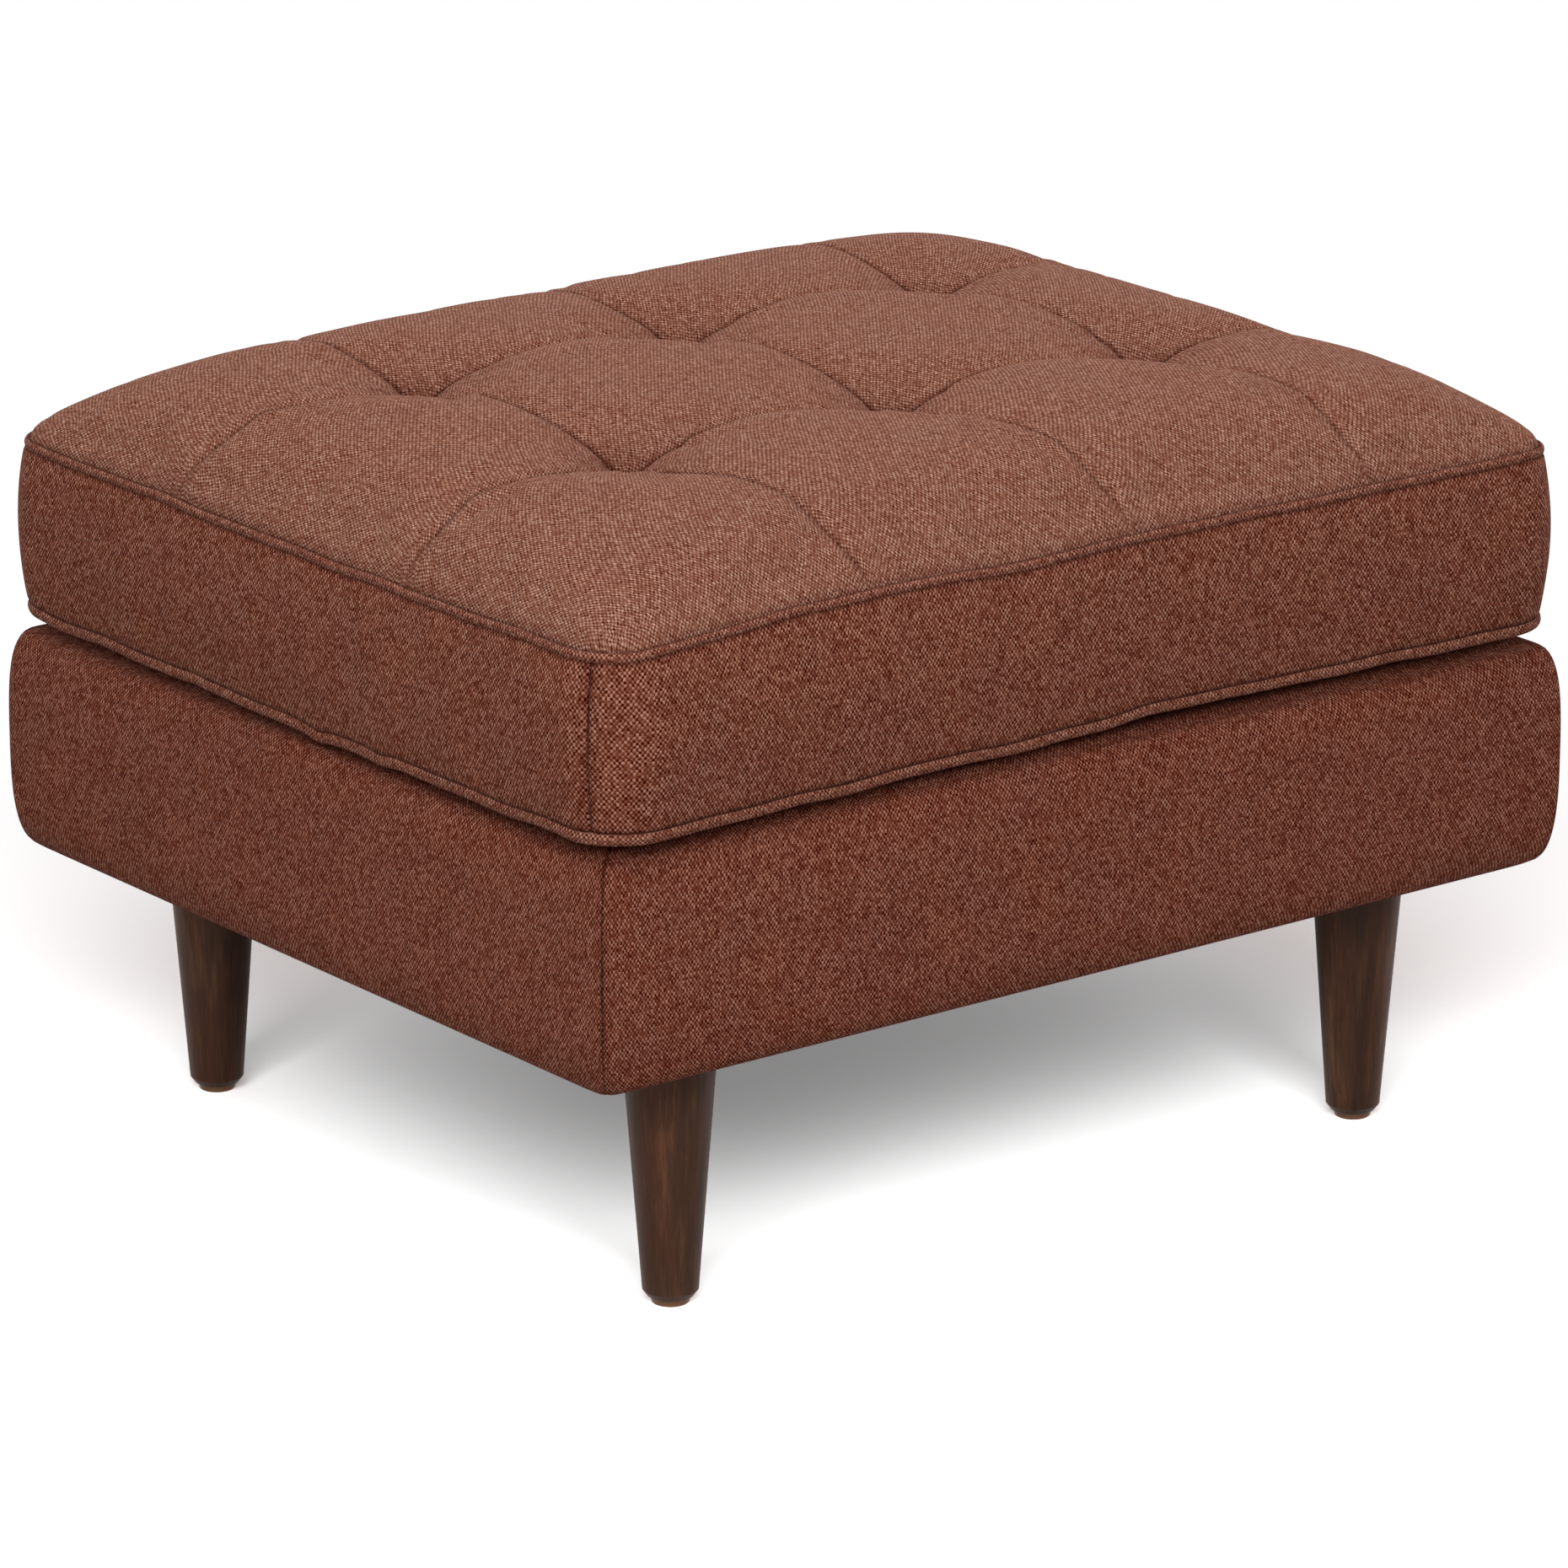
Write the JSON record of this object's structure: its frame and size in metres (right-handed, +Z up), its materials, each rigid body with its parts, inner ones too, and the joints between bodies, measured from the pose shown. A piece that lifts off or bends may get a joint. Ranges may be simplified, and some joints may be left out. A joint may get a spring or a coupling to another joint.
{
  "type": "ottoman",
  "caption": "Upholstered footstool with a loose tufted box cushion, piped edges, a padded sprung base and turned, tapered wooden legs.",
  "frame": {"origin": "on the floor, under the centre of the footprint", "axes": "+X to the right along the long side, +Y to the back where the cushion's zip is, +Z up"},
  "size_m": [0.762, 0.6506, 0.4991],
  "materials": {
    "rust_cloth": "heathered plain weave",
    "dark_wood": "satin lacquer over dark walnut",
    "frame_wood": "planed, unfinished",
    "glide_plastic": "smooth",
    "steel": "zinc plated",
    "zip_metal": "matte",
    "padding": "foam and fibre",
    "felt": "felted",
    "black_cloth": "plain weave",
    "twine": "waxed"
  },
  "bodies": {
    "base": {"front_rail": "frame_wood", "back_rail": "frame_wood", "left_rail": "frame_wood", "right_rail": "frame_wood", "centre_stretcher": "frame_wood", "corner_blocks": "frame_wood", "frame_screws": "steel", "tee_nuts": "steel", "hanger_bolts": "steel", "leg_front_left": "dark_wood", "leg_front_right": "dark_wood", "leg_back_left": "dark_wood", "leg_back_right": "dark_wood", "foot_glides": "glide_plastic", "glide_nails": "steel", "sinuous_springs": "steel", "spring_clips": "steel", "clip_nails": "steel", "tie_wires": "steel", "tie_clips": "steel", "spring_cover": "felt", "deck_padding": "padding", "deck_cloth": "black_cloth", "padding_front": "padding", "padding_back": "padding", "padding_left": "padding", "padding_right": "padding", "cover_front": "rust_cloth", "cover_back": "rust_cloth", "cover_left": "rust_cloth", "cover_right": "rust_cloth", "dust_cover": "black_cloth"},
    "cushion": {"seat_foam": "padding", "crown_foam": "padding", "fibre_top": "padding", "top_panel": "rust_cloth", "bottom_panel": "rust_cloth", "boxing_front": "rust_cloth", "boxing_left": "rust_cloth", "boxing_right": "rust_cloth", "zip_strip_upper": "rust_cloth", "zip_strip_lower": "rust_cloth", "zip_tape": "black_cloth", "zip_teeth": "zip_metal", "zip_stops": "zip_metal", "top_welt": "rust_cloth", "bottom_welt": "rust_cloth", "tuft_twine": "twine", "tuft_pads": "felt"},
    "slider": {"zip_slider": "zip_metal"},
    "pull": {"zip_pull": "zip_metal"}
  },
  "joints": [
    {"name": "cushion_lift", "type": "slide", "parent": "base", "child": "cushion", "axis": [0, 0, 1], "range_m": [0, 0.2]},
    {"name": "zip_slide", "type": "slide", "parent": "cushion", "child": "slider", "axis": [1, 0, 0], "range_m": [-0.478, 0]},
    {"name": "pull_flip", "type": "hinge", "parent": "slider", "child": "pull", "pos_m": [0.2395, 0.31736, 0.3839], "axis": [0, 0, -1], "range_deg": [0, 180]}
  ]
}
